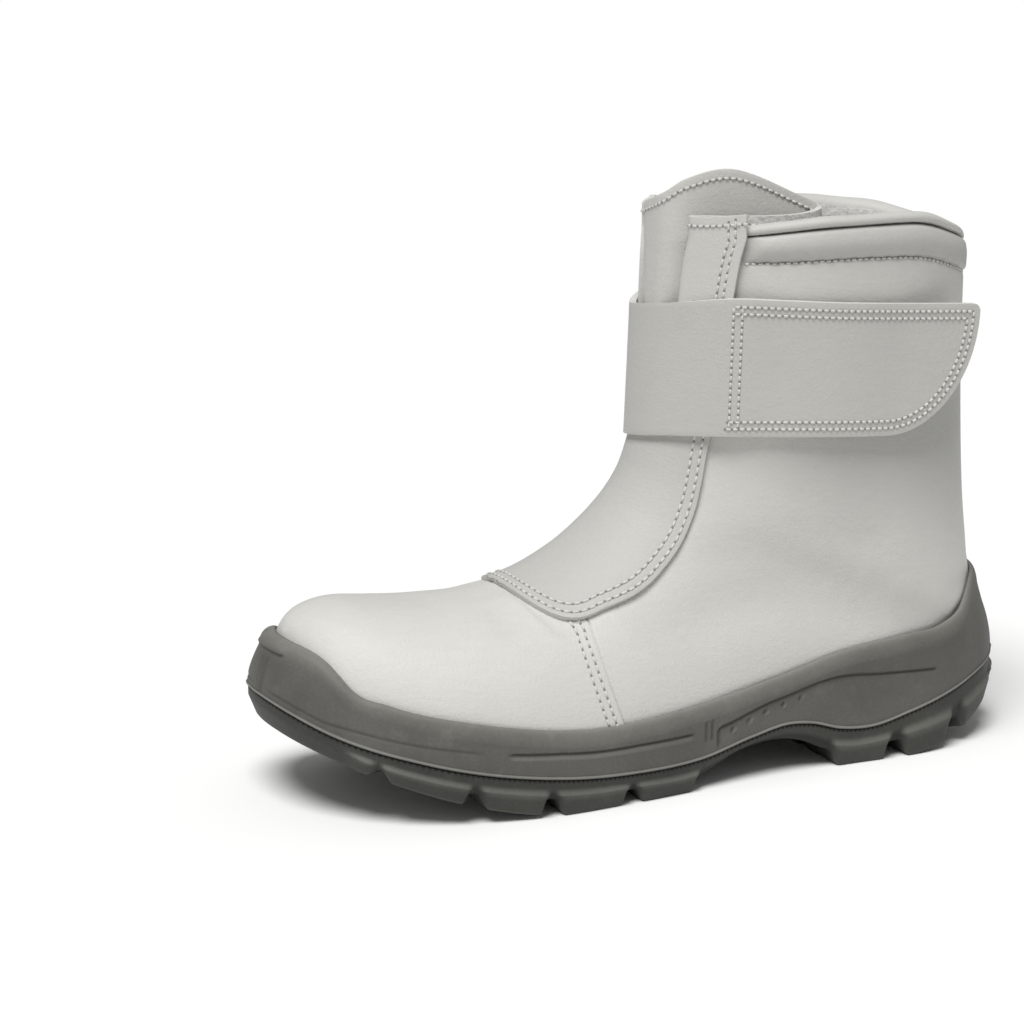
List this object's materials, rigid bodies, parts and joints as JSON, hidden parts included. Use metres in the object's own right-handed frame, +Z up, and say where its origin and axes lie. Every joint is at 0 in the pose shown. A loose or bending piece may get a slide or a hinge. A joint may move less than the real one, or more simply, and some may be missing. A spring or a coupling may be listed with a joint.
{
  "type": "cold storage boot",
  "caption": "Ankle-high left work boot with a hollow microfibre upper, folded bellows front, closing strap, padded collar and a lugged polyurethane cup sole.",
  "frame": {"origin": "middle of the boot's outline on the floor it stands on", "axes": "+X from the toe to the heel, +Y to the inner side of the foot, +Z up"},
  "size_m": [0.3048, 0.107, 0.2262],
  "materials": {
    "outsole": "matte moulded polyurethane",
    "midsole": "matte moulded polyurethane",
    "insole": "felt",
    "upper": "fine-grained white microfibre",
    "front_panel": "fine-grained white microfibre",
    "collar_lining": "padded fleece",
    "strap": "fine-grained white microfibre"
  },
  "bodies": {
    "root": {"outsole": "outsole", "midsole": "midsole", "insole": "insole", "upper": "upper", "front_panel": "front_panel", "collar_lining": "collar_lining", "strap": "strap"}
  },
  "joints": []
}
